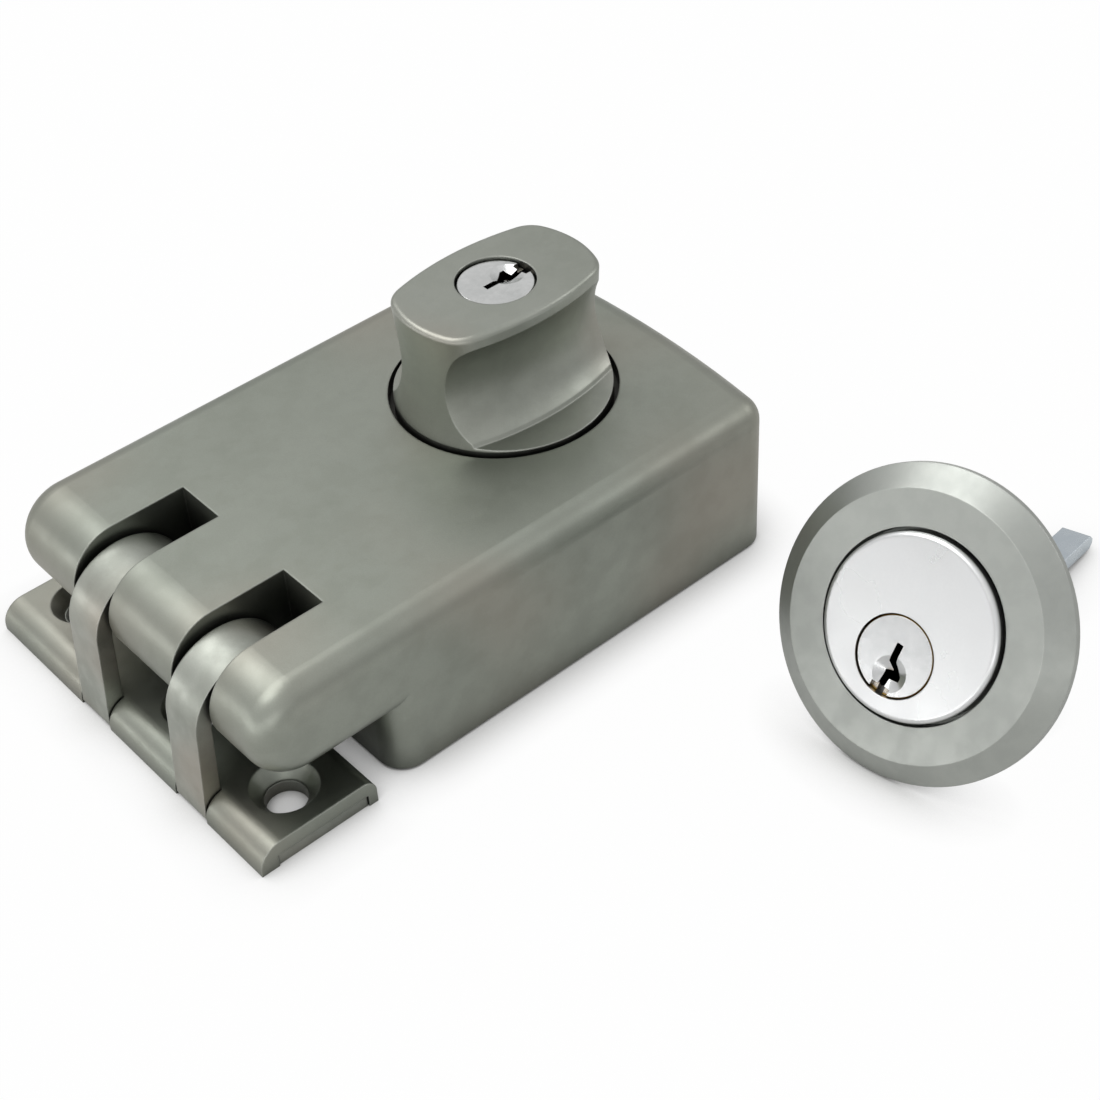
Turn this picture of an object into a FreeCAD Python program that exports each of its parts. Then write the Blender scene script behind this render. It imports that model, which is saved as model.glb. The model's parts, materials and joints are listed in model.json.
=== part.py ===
import FreeCAD, Part
import math
import os
import types

import Sketcher

# Rim deadlock with two round bolts, its strike with two loops, and its outside cylinder.
# Millimetres. +X points away from the strike, +Z out of the door, origin on the knob's axis
# at the plane of the door.

driving = {
    # case
    "case_width": 72.0,
    "case_height": 31.8,
    "case_front": 55.8,
    "case_back": 29.9,
    "back_bow": 2.9,
    "corner_round": 5.0,
    "edge_round": 4.6,
    "foot_chamfer": 0.5,
    "side_wall": 2.4,
    "top_wall": 2.4,
    "front_wall": 1.9,
    "nose_reach": 80.0,
    "nose_height": 18.4,
    "slot_width": 10.6,
    "slot_pitch": 28.8,
    "slot_side": 24.4,
    "slot_past_case": 0.9,
    "knob_hole": 20.5,
    # back plate and what fixes it
    "plate_thick": 2.0,
    "plate_gap": 0.2,
    "boss_radius": 5.0,
    "boss_thread": 2.1,
    "boss_depth": 14.0,
    "boss_x_front": -32.0,
    "boss_x_back": 22.0,
    "boss_side": 9.0,
    "post_radius": 3.5,
    "post_x_front": -45.0,
    "post_side_front": 8.0,
    "post_x_back": 27.0,
    "post_y_back": 14.0,
    "plate_screw": 1.5,
    "plate_screw_head": 3.0,
    "plate_screw_reach": 10.0,
    # bolt works
    "bolt_radius": 4.6,
    "bolt_lead": 0.2,
    "bolt_drop": 2.0,
    "bolt_recess": 0.2,
    "bolt_spigot": 2.5,
    "arm_thick": 1.6,
    "arm_play": 0.1,
    "pin_end": 0.9,
    "pin_chamfer": 0.5,
    "bore_wall": 1.7,
    "bolt_bite": 1.8,
    "cap_thick": 1.2,
    "carrier_thick": 3.2,
    "carrier_clear": 2.4,
    "carrier_root": 18.0,
    "carrier_bar": 4.0,
    "fork_reach": 3.6,
    "fork_half": 7.3,
    "roller_radius": 3.4,
    "roller_play": 0.4,
    "stud_x_front": -44.0,
    "stud_x_back": -28.0,
    "stud_radius": 2.5,
    "stud_collar": 4.4,
    "stud_foot": 2.0,
    "clip_thick": 0.7,
    "running_gap": 0.3,
    "bore_gap": 0.2,
    # hub and lock ring
    "journal_radius": 7.95,
    "journal_gap": 0.05,
    "hub_lift": 0.2,
    "hub_barrel": 9.0,
    "washer_radius": 12.0,
    "washer_thick": 0.4,
    "hub_web": 13.0,
    "web_gap": 0.8,
    "web_thick": 2.6,
    "drum_gap": 1.0,
    "drum_radius": 17.2,
    "drum_height": 9.0,
    "flange_gap": 0.6,
    "flange_thick": 3.2,
    "flange_radius": 22.4,
    "crank_pin": 2.5,
    "pillar_radius": 3.0,
    "tail_slot_long": 6.2,
    "tail_slot_short": 3.3,
    "tail_slot_depth": 8.5,
    "ring_drop": 3.3,
    "ring_thick": 4.0,
    "ring_radius": 24.8,
    "ring_gap": 0.4,
    "ear_x": 12.5,
    "ear_y": 23.9,
    "ear_radius": 4.0,
    "ring_screw": 1.25,
    "ring_screw_head": 2.6,
    "dog_lift": 0.5,
    "dog_thick": 3.0,
    "dog_half": 4.4,
    "dog_tip": 16.5,
    "dog_tail": 4.6,
    "dog_throw": 3.0,
    "dog_gap": 0.2,
    "cam_pin": 1.0,
    "cam_radius": 7.2,
    "cam_thick": 2.8,
    "cam_screw_y": 4.6,
    "ball_radius": 2.0,
    "ball_x": -15.5,
    "ball_hole_end": -9.2,
    # knob
    "knob_rise": 22.3,
    "knob_base": 19.5,
    "knob_reveal": 0.5,
    "knob_radius": 18.5,
    "waist_radius": 60.0,
    "grip_half": 12.0,
    "grip_arc": 39.0,
    "grip_corner": 5.6,
    "grip_edge": 0.9,
    "lip_thick": 2.4,
    "ridge_half": 13.1,
    "ridge_rise": 1.2,
    "ridge_run": 0.4,
    "shelf_rise": 0.5,
    "scoop_radius": 13.4,
    "knob_mouth": 7.05,
    "knob_roof_thick": 3.2,
    "knob_screw": 1.9,
    "knob_screw_x": 3.5,
    "knob_screw_y": 12.0,
    "knob_screw_head": 3.4,
    "knob_screw_bite": 3.0,
    # key cylinders
    "plug_radius": 6.3,
    "plug_head": 6.85,
    "plug_gap": 0.05,
    "barrel_wall": 1.6,
    "bible_reach": 15.0,
    "bible_half": 3.5,
    "barrel_gap": 0.3,
    "plug_sunk": 0.5,
    "pin_radius": 1.35,
    "pin_gap": 0.1,
    "pin_pitch": 4.0,
    "first_pin": 6.0,
    "driver_length": 4.4,
    "pin_cover": 1.0,
    "spring_wall": 0.35,
    "key_half": 0.6,
    "key_end": 2.3,
    "key_jog": 2.3,
    "key_jog_start": 0.8,
    "key_jog_end": 4.0,
    "funnel_x": 3.0,
    "funnel_y": 0.5,
    "funnel_radius": 3.0,
    "funnel_depth": 0.9,
    "notch_half": 1.7,
    "notch_width": 1.5,
    # strike
    "strike_lead": 4.2,
    "strike_width": 23.2,
    "strike_length": 78.6,
    "strike_shift": 5.1,
    "strike_height": 5.3,
    "strike_round": 4.4,
    "strike_back_round": 2.5,
    "strike_plate": 2.4,
    "front_toe": 3.6,
    "back_toe": 1.9,
    "toe_gap": 0.15,
    "strike_hole_inset": 9.0,
    "strike_hole": 3.6,
    "strike_sink": 5.8,
    "strike_sink_low": 3.8,
    "loop_width": 8.4,
    "loop_thick": 3.0,
    "loop_radius": 11.4,
    "loop_lead": 0.3,
    "loop_drop": 2.8,
    "loop_toe_in": 0.1,
    "loop_heel_in": 0.2,
    "loop_notch_gap": 0.25,
    # outside cylinder, in its own frame with the ring's back face at z = 0
    "rose_radius": 26.0,
    "rose_rim": 1.3,
    "rose_height": 4.5,
    "rose_face": 22.1,
    "rose_mouth": 15.95,
    "rose_lip": 14.5,
    "rose_lip_thick": 1.4,
    "rose_wall": 1.9,
    "head_radius": 15.35,
    "head_proud": 1.25,
    "head_round": 0.9,
    "body_radius": 14.2,
    "body_back": 20.85,
    "plug_offset": 5.3,
    "outer_head_depth": 2.6,
    "outer_first_pin": 4.5,
    "outer_pin_pitch": 3.7,
    "connect_thread": 2.1,
    "connect_y": 10.2,
    "connect_depth": 12.0,
    "tail_cap_radius": 7.0,
    "tail_cap_thick": 3.0,
    "tail_pivot": 1.45,
    "tail_width": 5.5,
    "tail_thick": 2.6,
    "tail_reach": 38.9,
    "tail_bevel": 0.9,
    "tail_head": 7.6,
    "tail_play": 0.15,
    "tail_swing": 21.6,
    "tail_turn": 13.2,
    "cap_screw": 0.9,
    "cap_screw_head": 1.6,
    "cap_screw_x": 4.4,
    "rose_x": 14.4,
    "rose_y": -85.6,
    "rose_bearing": 187.1,
    "rose_roll": -6.0,
}

doc = FreeCAD.newDocument("deadlock")
sheet = doc.addObject("Spreadsheet::Sheet", "Sizes")
for row, (alias, number) in enumerate(driving.items(), 1):
    sheet.set("A%d" % row, alias)
    sheet.set("B%d" % row, str(number))
    sheet.setAlias("B%d" % row, alias)
doc.recompute()


class Size:
    # a number together with the sheet formula that gives it
    def __init__(self, value, text):
        self.value = float(value)
        self.text = text

    def __add__(self, other):
        other = as_size(other)
        return Size(self.value + other.value, "(%s + %s)" % (self.text, other.text))

    def __sub__(self, other):
        other = as_size(other)
        return Size(self.value - other.value, "(%s - %s)" % (self.text, other.text))

    def __mul__(self, other):
        other = as_size(other)
        return Size(self.value * other.value, "(%s * %s)" % (self.text, other.text))

    def __truediv__(self, other):
        other = as_size(other)
        return Size(self.value / other.value, "(%s / %s)" % (self.text, other.text))

    def __neg__(self):
        return Size(-self.value, "(0 - %s)" % self.text)

    def __rsub__(self, other):
        return as_size(other) - self

    __radd__ = __add__
    __rmul__ = __mul__


def as_size(number):
    if isinstance(number, Size):
        return number
    return Size(number, "(%s)" % repr(float(number)))


def root(number):
    return Size(math.sqrt(number.value), "sqrt(%s)" % number.text)


d = types.SimpleNamespace()
for alias, number in driving.items():
    setattr(d, alias, Size(sheet.get(alias), "Sizes." + alias))


def bind(item, path, size):
    item.setExpression(path, as_size(size).text)


# sketches and features of bodies

def new_body(name):
    return doc.addObject("PartDesign::Body", name)


def new_sketch(body, plane, level, across=0):
    # level: distance of the sketch along +X, +Y or +Z; across: shift along its own x
    sketch = body.newObject("Sketcher::SketchObject", body.Name + "_sketch")
    role = plane + "_Plane"
    support = [item for item in body.Origin.OriginFeatures if item.Role == role][0]
    sketch.AttachmentSupport = [(support, "")]
    sketch.MapMode = "FlatFace"
    level = as_size(level)
    if plane == "XZ":
        level = -level
    bind(sketch, ".AttachmentOffset.Base.z", level)
    bind(sketch, ".AttachmentOffset.Base.x", across)
    return sketch


def pin_point(sketch, geometry, end, u, v):
    # fixes one point of the sketch at (u, v)
    for kind, axis, size in (("DistanceX", -2, u), ("DistanceY", -1, v)):
        if size.value == 0.0:
            sketch.addConstraint(Sketcher.Constraint("PointOnObject", geometry, end, axis))
            continue
        index = sketch.addConstraint(
            Sketcher.Constraint(kind, -1, 1, geometry, end, size.value))
        sketch.setExpression("Constraints[%d]" % index, size.text)


def angle_of(point, centre):
    return math.atan2(point.y - centre.y, point.x - centre.x)


def arc_between(start, end, radius, turn):
    chord = end - start
    rise = math.sqrt(max(radius ** 2 - chord.Length ** 2 / 4, 0.0))
    left = FreeCAD.Vector(-chord.y, chord.x, 0).normalize()
    centre = (start + end) / 2 + left * rise * turn
    first, last = (start, end) if turn > 0 else (end, start)
    a = angle_of(first, centre)
    b = angle_of(last, centre)
    if b < a:
        b += 2 * math.pi
    circle = Part.Circle(centre, FreeCAD.Vector(0, 0, 1), radius)
    return Part.ArcOfCircle(circle, a, b)


def draw_outline(sketch, corners):
    # corners: (u, v) starts a line; (u, v, radius, turn) starts an arc, turn +1 for
    # anticlockwise and -1 for clockwise
    sizes = [(as_size(corner[0]), as_size(corner[1])) for corner in corners]
    points = [FreeCAD.Vector(u.value, v.value, 0) for u, v in sizes]
    ends = []
    for index, corner in enumerate(corners):
        start = points[index]
        end = points[(index + 1) % len(points)]
        if len(corner) == 2:
            edge = sketch.addGeometry(Part.LineSegment(start, end), False)
            ends.append((edge, 1, 2))
            continue
        radius = as_size(corner[2])
        turn = corner[3]
        edge = sketch.addGeometry(arc_between(start, end, radius.value, turn), False)
        ends.append((edge, 1, 2) if turn > 0 else (edge, 2, 1))
    for index, (edge, first, last) in enumerate(ends):
        after, after_first, unused = ends[(index + 1) % len(ends)]
        sketch.addConstraint(Sketcher.Constraint("Coincident", edge, last, after, after_first))
    for (edge, first, last), (u, v) in zip(ends, sizes):
        pin_point(sketch, edge, first, u, v)
    for (edge, first, last), corner in zip(ends, corners):
        if len(corner) == 4:
            radius = as_size(corner[2])
            index = sketch.addConstraint(Sketcher.Constraint("Radius", edge, radius.value))
            sketch.setExpression("Constraints[%d]" % index, radius.text)


def draw_circle(sketch, u, v, radius):
    u, v, radius = as_size(u), as_size(v), as_size(radius)
    centre = FreeCAD.Vector(u.value, v.value, 0)
    circle = Part.Circle(centre, FreeCAD.Vector(0, 0, 1), radius.value)
    edge = sketch.addGeometry(circle, False)
    pin_point(sketch, edge, 3, u, v)
    index = sketch.addConstraint(Sketcher.Constraint("Radius", edge, radius.value))
    sketch.setExpression("Constraints[%d]" % index, radius.text)


def extrude(body, kind, sketch, length):
    feature = body.newObject("PartDesign::" + kind, body.Name + "_" + kind.lower())
    feature.Profile = sketch
    bind(feature, "Length", length)
    body.Tip = feature
    return feature


def add_prism(body, plane, outline, low, high):
    sketch = new_sketch(body, plane, high if plane == "XZ" else low)
    draw_outline(sketch, outline)
    return extrude(body, "Pad", sketch, as_size(high) - low)


def cut_prism(body, plane, outline, low, high):
    sketch = new_sketch(body, plane, low if plane == "XZ" else high)
    draw_outline(sketch, outline)
    return extrude(body, "Pocket", sketch, as_size(high) - low)


def add_rounds(body, plane, circles, low, high):
    for u, v, radius in circles:
        sketch = new_sketch(body, plane, high if plane == "XZ" else low)
        draw_circle(sketch, u, v, radius)
        extrude(body, "Pad", sketch, as_size(high) - low)


def cut_rounds(body, plane, circles, low, high):
    sketch = new_sketch(body, plane, low if plane == "XZ" else high)
    for u, v, radius in circles:
        draw_circle(sketch, u, v, radius)
    return extrude(body, "Pocket", sketch, as_size(high) - low)


def turn_profile(body, kind, outline, plane="XZ", level=0, across=0):
    # spins an outline of (distance from the axis, height) about the sketch's upright axis
    sketch = new_sketch(body, plane, level, across)
    draw_outline(sketch, outline)
    feature = body.newObject("PartDesign::" + kind, body.Name + "_" + kind.lower())
    feature.Profile = sketch
    feature.ReferenceAxis = (sketch, ["V_Axis"])
    feature.Angle = 360
    body.Tip = feature
    return feature


def dress(body, kind, wanted, size):
    # rounds or bevels each edge of the body's tip that wanted() picks
    doc.recompute()
    base = body.Tip
    picked = [
        "Edge%d" % (index + 1)
        for index, edge in enumerate(base.Shape.Edges)
        if wanted(edge)
    ]
    feature = body.newObject("PartDesign::" + kind, body.Name + "_" + kind.lower())
    feature.Base = (base, picked)
    bind(feature, "Radius" if kind == "Fillet" else "Size", size)
    body.Tip = feature
    return feature


def rectangle(u0, v0, u1, v1):
    return [(u0, v0), (u1, v0), (u1, v1), (u0, v1)]


# primitives and booleans

turns = {
    "X": FreeCAD.Rotation(FreeCAD.Vector(0, 1, 0), 90),
    "Y": FreeCAD.Rotation(FreeCAD.Vector(1, 0, 0), -90),
    "Z": FreeCAD.Rotation(),
}


def put(item, axis, across, low):
    # across: the two other coordinates in X, Y, Z order
    first, second = across
    place = {"X": (low, first, second), "Y": (first, low, second), "Z": (first, second, low)}
    item.Placement = FreeCAD.Placement(FreeCAD.Vector(), turns[axis])
    for letter, size in zip("xyz", place[axis]):
        bind(item, "Placement.Base." + letter, size)
    return item


def rod(name, axis, across, low, high, radius):
    item = doc.addObject("Part::Cylinder", name)
    bind(item, "Radius", radius)
    bind(item, "Height", as_size(high) - low)
    return put(item, axis, across, low)


def cone(name, axis, across, low, high, radius_low, radius_high):
    item = doc.addObject("Part::Cone", name)
    bind(item, "Radius1", radius_low)
    bind(item, "Radius2", radius_high)
    bind(item, "Height", as_size(high) - low)
    return put(item, axis, across, low)


def block(name, x0, x1, y0, y1, z0, z1):
    item = doc.addObject("Part::Box", name)
    bind(item, "Length", as_size(x1) - x0)
    bind(item, "Width", as_size(y1) - y0)
    bind(item, "Height", as_size(z1) - z0)
    return put(item, "Z", (x0, y0), z0)


def ball(name, centre, radius):
    item = doc.addObject("Part::Sphere", name)
    bind(item, "Radius", radius)
    for letter, size in zip("xyz", centre):
        bind(item, "Placement.Base." + letter, size)
    return item


def fuse(name, items):
    item = doc.addObject("Part::MultiFuse", name)
    item.Shapes = items
    item.Refine = True
    return item


def cut(name, base, tools):
    item = doc.addObject("Part::Cut", name)
    item.Base = base
    item.Tool = tools[0] if len(tools) == 1 else fuse(name + "_tools", tools)
    return item


def group(name, items):
    item = doc.addObject("Part::Compound", name)
    item.Links = items
    return item


nodes = []


def keep(name, item):
    item.Label = name
    nodes.append(item)
    return item


def screw_up(name, x, y, low, high, shank, head, head_height):
    # countersunk screw pointing up, its head flush at low
    sink = cone(name + "_head", "Z", (x, y), low, low + head_height, head, shank)
    stem = rod(name + "_stem", "Z", (x, y), low + head_height, high, shank)
    slot = block(name + "_slot", x - head, x + head, y - shank / 3, y + shank / 3,
                 low - 1, low + head_height / 2)
    return cut(name, fuse(name + "_whole", [sink, stem]), [slot])


def pan_screw_up(name, x, y, low, seat, high, shank, head):
    # cylinder-head screw pointing up, its head from low to seat
    top = rod(name + "_head", "Z", (x, y), low, seat, head)
    stem = rod(name + "_stem", "Z", (x, y), seat, high, shank)
    slot = block(name + "_slot", x - head, x + head, y - shank / 3, y + shank / 3,
                 low - 1, low + (seat - low) / 2)
    return cut(name, fuse(name + "_whole", [top, stem]), [slot])


# shared places

half_width = d.case_width / 2
nose_radius = d.nose_height / 2
nose_x = nose_radius - d.nose_reach
nose_under = d.case_height - d.nose_height
nose_mid = d.case_height - nose_radius
nose_root = -(d.case_front - 10.8)
slot_end = -d.case_front - d.slot_past_case
roof = d.case_height - d.top_wall
cavity_front = d.front_wall - d.case_front
cavity_side = half_width - d.side_wall
over = 1.0

slot_half = d.slot_width / 2
slot_far = half_width - d.slot_side
slot_near = slot_far - d.slot_pitch
slot_middle = slot_far - d.slot_pitch / 2
slots = (slot_far, slot_near)

flange_top = roof - d.flange_gap
flange_low = flange_top - d.flange_thick
drum_low = flange_low - d.drum_height
carrier_low = drum_low - d.drum_gap - d.carrier_thick
web_low = carrier_low - d.web_gap - d.web_thick
ring_low = flange_low - d.ring_drop - d.ring_thick
dog_low = ring_low + d.dog_lift
dog_top = dog_low + d.dog_thick
cam_low = dog_top + d.dog_gap
cam_top = cam_low + d.cam_thick
barrel_low = cam_top + d.dog_gap

knob_base_top = d.case_height + d.knob_reveal
knob_top = d.case_height + d.knob_rise
knob_roof = knob_top - d.knob_roof_thick
lip_low = knob_top - d.lip_thick
ridge_height = knob_base_top + d.ridge_rise
shelf_height = knob_base_top + d.shelf_rise
barrel_top = knob_roof - d.barrel_gap
plug_face = knob_top - d.plug_sunk
knob_screw_top = flange_top + d.knob_screw_bite

bolt_x = nose_x - d.bolt_lead
bolt_height = nose_mid - d.bolt_drop
throw = d.slot_width + d.bolt_bite + d.bolt_recess
pin_length = d.slot_width + d.bolt_bite * 2
groove_width = d.arm_thick + d.arm_play * 2
arm_low = bolt_height - d.bolt_radius
arm_high = bolt_height + d.bolt_radius
carrier_high = carrier_low + d.carrier_thick
carrier_y = throw / 2
bore_radius = d.bolt_radius + d.bore_gap

journal_bore = d.journal_radius + d.journal_gap
journal_top = d.plate_thick + d.washer_thick + 0.1
web_top = web_low + d.web_thick
crank = throw / 2
ears = [(d.ear_x * a, d.ear_y * b) for a in (-1, 1) for b in (-1, 1)]
boss_y = half_width - d.boss_side
post_y_front = half_width - d.post_side_front
bosses = [(x, boss_y * b) for x in (d.boss_x_front, d.boss_x_back) for b in (-1, 1)]
posts = [
    (x, y * b)
    for x, y in ((d.post_x_front, post_y_front), (d.post_x_back, d.post_y_back))
    for b in (-1, 1)
]

bow_radius = (half_width * half_width + d.back_bow * d.back_bow) / (d.back_bow * 2)
bow_x = d.case_back + d.back_bow - bow_radius


def plan_outline(front, side, corner, back_radius):
    # rounded rectangle whose back edge is an arc about (bow_x, 0)
    inner = side - corner
    reach = root((back_radius - corner) * (back_radius - corner) - inner * inner)
    share = back_radius / (back_radius - corner)
    tip_x = bow_x + reach * share
    tip_y = inner * share
    x = bow_x + reach
    return [
        (front + corner, -side),
        (x, -side, corner, 1),
        (tip_x, -tip_y, back_radius, 1),
        (tip_x, tip_y, corner, 1),
        (x, side),
        (front + corner, side, corner, 1),
        (front, inner),
        (front, -inner, corner, 1),
    ]


def level_with(height):
    return lambda edge: all(abs(v.Point.z - height.value) < 0.001 for v in edge.Vertexes)


# case: a hollow box with a solid nose, slotted for the loops and bored for the bolts

box = new_body("case_box")
add_prism(box, "XY", plan_outline(-d.case_front, half_width, d.corner_round, bow_radius),
          0, d.case_height)
dress(box, "Fillet", level_with(d.case_height), d.edge_round)
dress(box, "Chamfer", level_with(as_size(0)), d.foot_chamfer)

nose = new_body("case_nose")
nose_outline = [
    (nose_x, nose_under),
    (nose_root, nose_under),
    (nose_root, d.case_height),
    (nose_x, d.case_height, nose_radius, 1),
    (-d.nose_reach, nose_mid, nose_radius, 1),
]
add_prism(nose, "XZ", nose_outline, -half_width, half_width)


def nose_side_edge(edge):
    ys = [v.Point.y for v in edge.Vertexes]
    at_root = all(abs(v.Point.x - nose_root.value) < 0.001 for v in edge.Vertexes)
    return abs(ys[0] - ys[-1]) < 0.001 and not at_root


dress(nose, "Fillet", nose_side_edge, d.edge_round)

cavity = new_body("case_cavity")
cavity_corner = d.corner_round - d.side_wall
cavity_bow = bow_radius - d.side_wall
add_prism(cavity, "XY", plan_outline(cavity_front, cavity_side, cavity_corner, cavity_bow),
          -over, roof)

case_outside = fuse("case_outside", [box, nose])
case_hollow = cut("case_hollow", case_outside, [cavity])
columns = [case_hollow]
holes = []
for x, y in posts:
    columns.append(rod("case_post", "Z", (x, y), d.plate_thick, roof + 0.5, d.post_radius))
    holes.append(rod("post_hole", "Z", (x, y), d.plate_thick - over, d.plate_screw_reach + 1,
                     d.plate_screw + 0.1))
for x, y in bosses:
    columns.append(rod("case_boss", "Z", (x, y), 0, roof + 0.5, d.boss_radius))
    holes.append(rod("boss_hole", "Z", (x, y), -over, d.boss_depth, d.boss_thread))
for x, y in ears:
    columns.append(rod("ear_post", "Z", (x, y), ring_low + d.ring_thick, roof + 0.5,
                       d.post_radius))
    holes.append(rod("ear_hole", "Z", (x, y), ring_low, roof - 1.5, d.ring_screw + 0.1))
case_full = fuse("case_full", columns)
for middle in slots:
    holes.append(block("loop_slot", -d.nose_reach - over, slot_end, middle - slot_half,
                       middle + slot_half, nose_under - over, d.case_height + over))
bore_low = slot_near - slot_half - d.bolt_bite - 0.6
holes.append(rod("bolt_bore", "Y", (bolt_x, bolt_height), bore_low, half_width + over,
                 bore_radius))
for low, high in (
    (slot_far + slot_half + d.bore_wall, cavity_side),
    (slot_near + slot_half + d.bore_wall, slot_far - slot_half - d.bore_wall),
):
    holes.append(block("arm_channel", bolt_x, cavity_front + over, low, high,
                       arm_low - d.bore_gap, arm_high + d.bore_gap))
holes.append(rod("knob_hole", "Z", (0, 0), roof - over, d.case_height + over, d.knob_hole))
keep("case", cut("case", case_full, holes))

far_pin = slot_far + slot_half + d.bolt_recess
near_pin = slot_near + slot_half + d.bolt_recess
cap_low = far_pin + pin_length + groove_width + d.pin_end + 0.1
keep("bolt_bore_cap", rod("bolt_bore_cap", "Y", (bolt_x, bolt_height), cap_low,
                          cap_low + d.cap_thick, bore_radius))

# back plate, its screws and the studs riveted to it

plate = new_body("back_plate")
gap = d.plate_gap
add_prism(plate, "XY", plan_outline(cavity_front + gap, cavity_side - gap, cavity_corner - gap,
                                    cavity_bow - gap), 0, d.plate_thick)
studs = (d.stud_x_front, d.stud_x_back)
plate_holes = [(0, 0, journal_bore)]
plate_holes += [(x, y, d.boss_radius + gap) for x, y in bosses]
plate_holes += [(x, 0, d.stud_foot) for x in studs]
cut_rounds(plate, "XY", plate_holes, 0, d.plate_thick)
sink = d.plate_screw_head - d.plate_screw
for x, y in posts:
    turn_profile(plate, "Groove", [
        (0, 0), (d.plate_screw_head + 0.1, 0), (d.plate_screw + 0.1, sink),
        (d.plate_screw + 0.1, d.plate_thick), (0, d.plate_thick)], "XZ", y, x)
keep("back_plate", plate)

screws = [screw_up("plate_screw", x, y, 0, d.plate_screw_reach, d.plate_screw,
                   d.plate_screw_head, sink) for x, y in posts]
keep("plate_screws", group("plate_screws", screws))

washer = cut("hub_washer", rod("washer_disc", "Z", (0, 0), d.plate_thick,
                               d.plate_thick + d.washer_thick, d.washer_radius),
             [rod("washer_hole", "Z", (0, 0), 0, web_low, journal_bore + 0.1)])
keep("hub_washer", washer)

stud_top = carrier_high + d.running_gap + d.clip_thick + 0.8
clip_low = carrier_high + d.running_gap
clip_groove = d.stud_radius - 0.4
guide_studs = []
guide_clips = []
for x in studs:
    stud = new_body("guide_stud")
    turn_profile(stud, "Revolution", [
        (0, 0), (d.stud_foot, 0), (d.stud_foot, d.plate_thick), (d.stud_collar, d.plate_thick),
        (d.stud_collar, carrier_low - d.running_gap),
        (d.stud_radius, carrier_low - d.running_gap), (d.stud_radius, clip_low),
        (clip_groove, clip_low), (clip_groove, clip_low + d.clip_thick),
        (d.stud_radius, clip_low + d.clip_thick), (d.stud_radius, stud_top), (0, stud_top)],
        "XZ", 0, x)
    guide_studs.append(stud)
    disc = rod("clip_disc", "Z", (x, 0), clip_low, clip_low + d.clip_thick, d.stud_collar)
    clip_hole = rod("clip_hole", "Z", (x, 0), clip_low - 1, stud_top, clip_groove)
    mouth = block("clip_mouth", x, x + d.stud_collar + over, -(clip_groove * 0.8),
                  clip_groove * 0.8, clip_low - 1, stud_top)
    guide_clips.append(cut("guide_clip", disc, [clip_hole, mouth]))
keep("guide_studs", group("guide_studs", guide_studs))
keep("guide_clips", group("guide_clips", guide_clips))

# bolt carrier with its fork and two arms, and the two bolts hooked into the arms

carrier = new_body("bolt_carrier")
front = cavity_front + d.running_gap
carrier_side = boss_y - d.boss_radius - carrier_y - d.carrier_clear
side_low = carrier_y - carrier_side
side_high = carrier_y + carrier_side
slot_play = d.roller_radius + d.roller_play
fork_end = -(crank * 1.4142 + slot_play + 0.8)
add_prism(carrier, "XY", [
    (front, side_low),
    (-d.carrier_root, side_low),
    (-d.carrier_root, carrier_y - d.fork_half),
    (-d.fork_reach, carrier_y - d.fork_half),
    (-d.fork_reach, carrier_y - slot_play),
    (fork_end, carrier_y - slot_play),
    (fork_end, carrier_y + slot_play),
    (-d.fork_reach, carrier_y + slot_play),
    (-d.fork_reach, carrier_y + d.fork_half),
    (-d.carrier_root, carrier_y + d.fork_half),
    (-d.carrier_root, side_high),
    (front, side_high),
], carrier_low, carrier_high)
stud_play = d.stud_radius + 0.2
for x in studs:
    cut_prism(carrier, "XY", rectangle(x - stud_play, -stud_play - 0.2, x + stud_play,
                                       throw + stud_play + 0.2), carrier_low, carrier_high)
bar_back = front + d.carrier_bar
arm_starts = [y + pin_length + d.arm_play for y in (far_pin, near_pin)]
bar_end = arm_starts[0] + d.arm_thick
bar_corner = cavity_corner - d.running_gap * 2
add_prism(carrier, "XY", [
    (front, arm_starts[1]), (bar_back, arm_starts[1]), (bar_back, bar_end),
    (front + bar_corner, bar_end, bar_corner, 1), (front, bar_end - bar_corner)],
    carrier_low, arm_high)
hook = d.bolt_spigot + d.arm_play
hook_x = bolt_x - root(d.bolt_radius * d.bolt_radius - hook * hook)
for y in arm_starts:
    add_prism(carrier, "XZ", [
        (bolt_x, arm_low),
        (bar_back, arm_low),
        (bar_back, arm_high),
        (bolt_x, arm_high, d.bolt_radius, 1),
        (hook_x, bolt_height + hook),
        (bolt_x, bolt_height + hook, hook, -1),
        (bolt_x + hook, bolt_height, hook, -1),
        (bolt_x, bolt_height - hook),
        (hook_x, bolt_height - hook, d.bolt_radius, 1),
    ], y, y + d.arm_thick)
keep("bolt_carrier", carrier)

bolts = []
for y in (far_pin, near_pin):
    bolt = new_body("bolt_pin")
    neck = y + pin_length
    end = neck + groove_width
    turn_profile(bolt, "Revolution", [
        (0, y), (d.bolt_radius - d.pin_chamfer, y), (d.bolt_radius, y + d.pin_chamfer),
        (d.bolt_radius, neck), (d.bolt_spigot, neck), (d.bolt_spigot, end),
        (d.bolt_radius, end), (d.bolt_radius, end + d.pin_end), (0, end + d.pin_end)],
        "XY", bolt_height, bolt_x)
    bolts.append(bolt)
keep("bolt_pins", group("bolt_pins", bolts))

# hub: journal, crank and drum in one piece, and what it carries

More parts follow.
